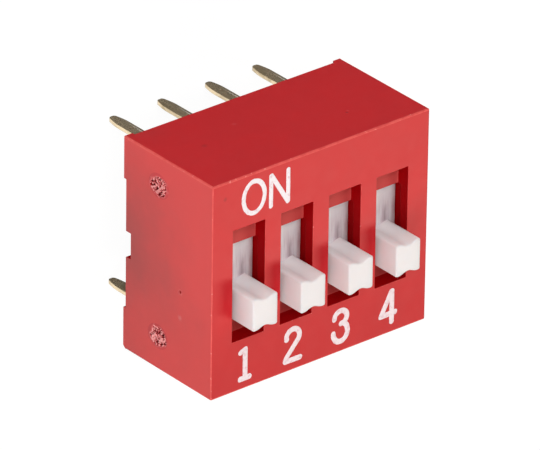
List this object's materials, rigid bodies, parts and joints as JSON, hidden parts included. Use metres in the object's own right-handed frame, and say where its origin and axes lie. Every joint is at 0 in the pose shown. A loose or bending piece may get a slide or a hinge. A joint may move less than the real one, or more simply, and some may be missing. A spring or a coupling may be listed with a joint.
{
  "type": "slide DIP switch",
  "caption": "Box-shaped through-hole slide switch: a row of raised knobs runs in open slots on its top face, over two rows of flat solder pins.",
  "frame": {"origin": "centre of the seating plane: the plane of the four feet that stand on the circuit board, midway between the two rows of pins and between positions 2 and 3", "axes": "+Z out of the actuator face, away from the board; +X along the row from position 1 to position 4; +Y from the number side to the ON side"},
  "size_m": [0.0116, 0.0098, 0.0102],
  "materials": {
    "cover": "moulded red thermoplastic, satin gloss",
    "base": "moulded red thermoplastic, matt",
    "seal": "cast epoxy resin",
    "slider": "moulded white thermoplastic, soft gloss",
    "contact": "gold-plated spring strip",
    "terminal": "gold-plated stamped brass sheet"
  },
  "bodies": {
    "housing": {"cover": "cover", "base": "base", "seal": "seal", "terminal_on_1": "terminal", "terminal_on_2": "terminal", "terminal_on_3": "terminal", "terminal_on_4": "terminal", "terminal_number_1": "terminal", "terminal_number_2": "terminal", "terminal_number_3": "terminal", "terminal_number_4": "terminal"},
    "switch_1": {"slider_1": "slider", "contact_1": "contact"},
    "switch_2": {"slider_2": "slider", "contact_2": "contact"},
    "switch_3": {"slider_3": "slider", "contact_3": "contact"},
    "switch_4": {"slider_4": "slider", "contact_4": "contact"}
  },
  "joints": [
    {"name": "slide_1", "type": "slide", "parent": "housing", "child": "switch_1", "axis": [0, 1, 0], "range_m": [0, 0.00174]},
    {"name": "slide_2", "type": "slide", "parent": "housing", "child": "switch_2", "axis": [0, 1, 0], "range_m": [0, 0.00174]},
    {"name": "slide_3", "type": "slide", "parent": "housing", "child": "switch_3", "axis": [0, 1, 0], "range_m": [0, 0.00174]},
    {"name": "slide_4", "type": "slide", "parent": "housing", "child": "switch_4", "axis": [0, 1, 0], "range_m": [0, 0.00174]}
  ]
}
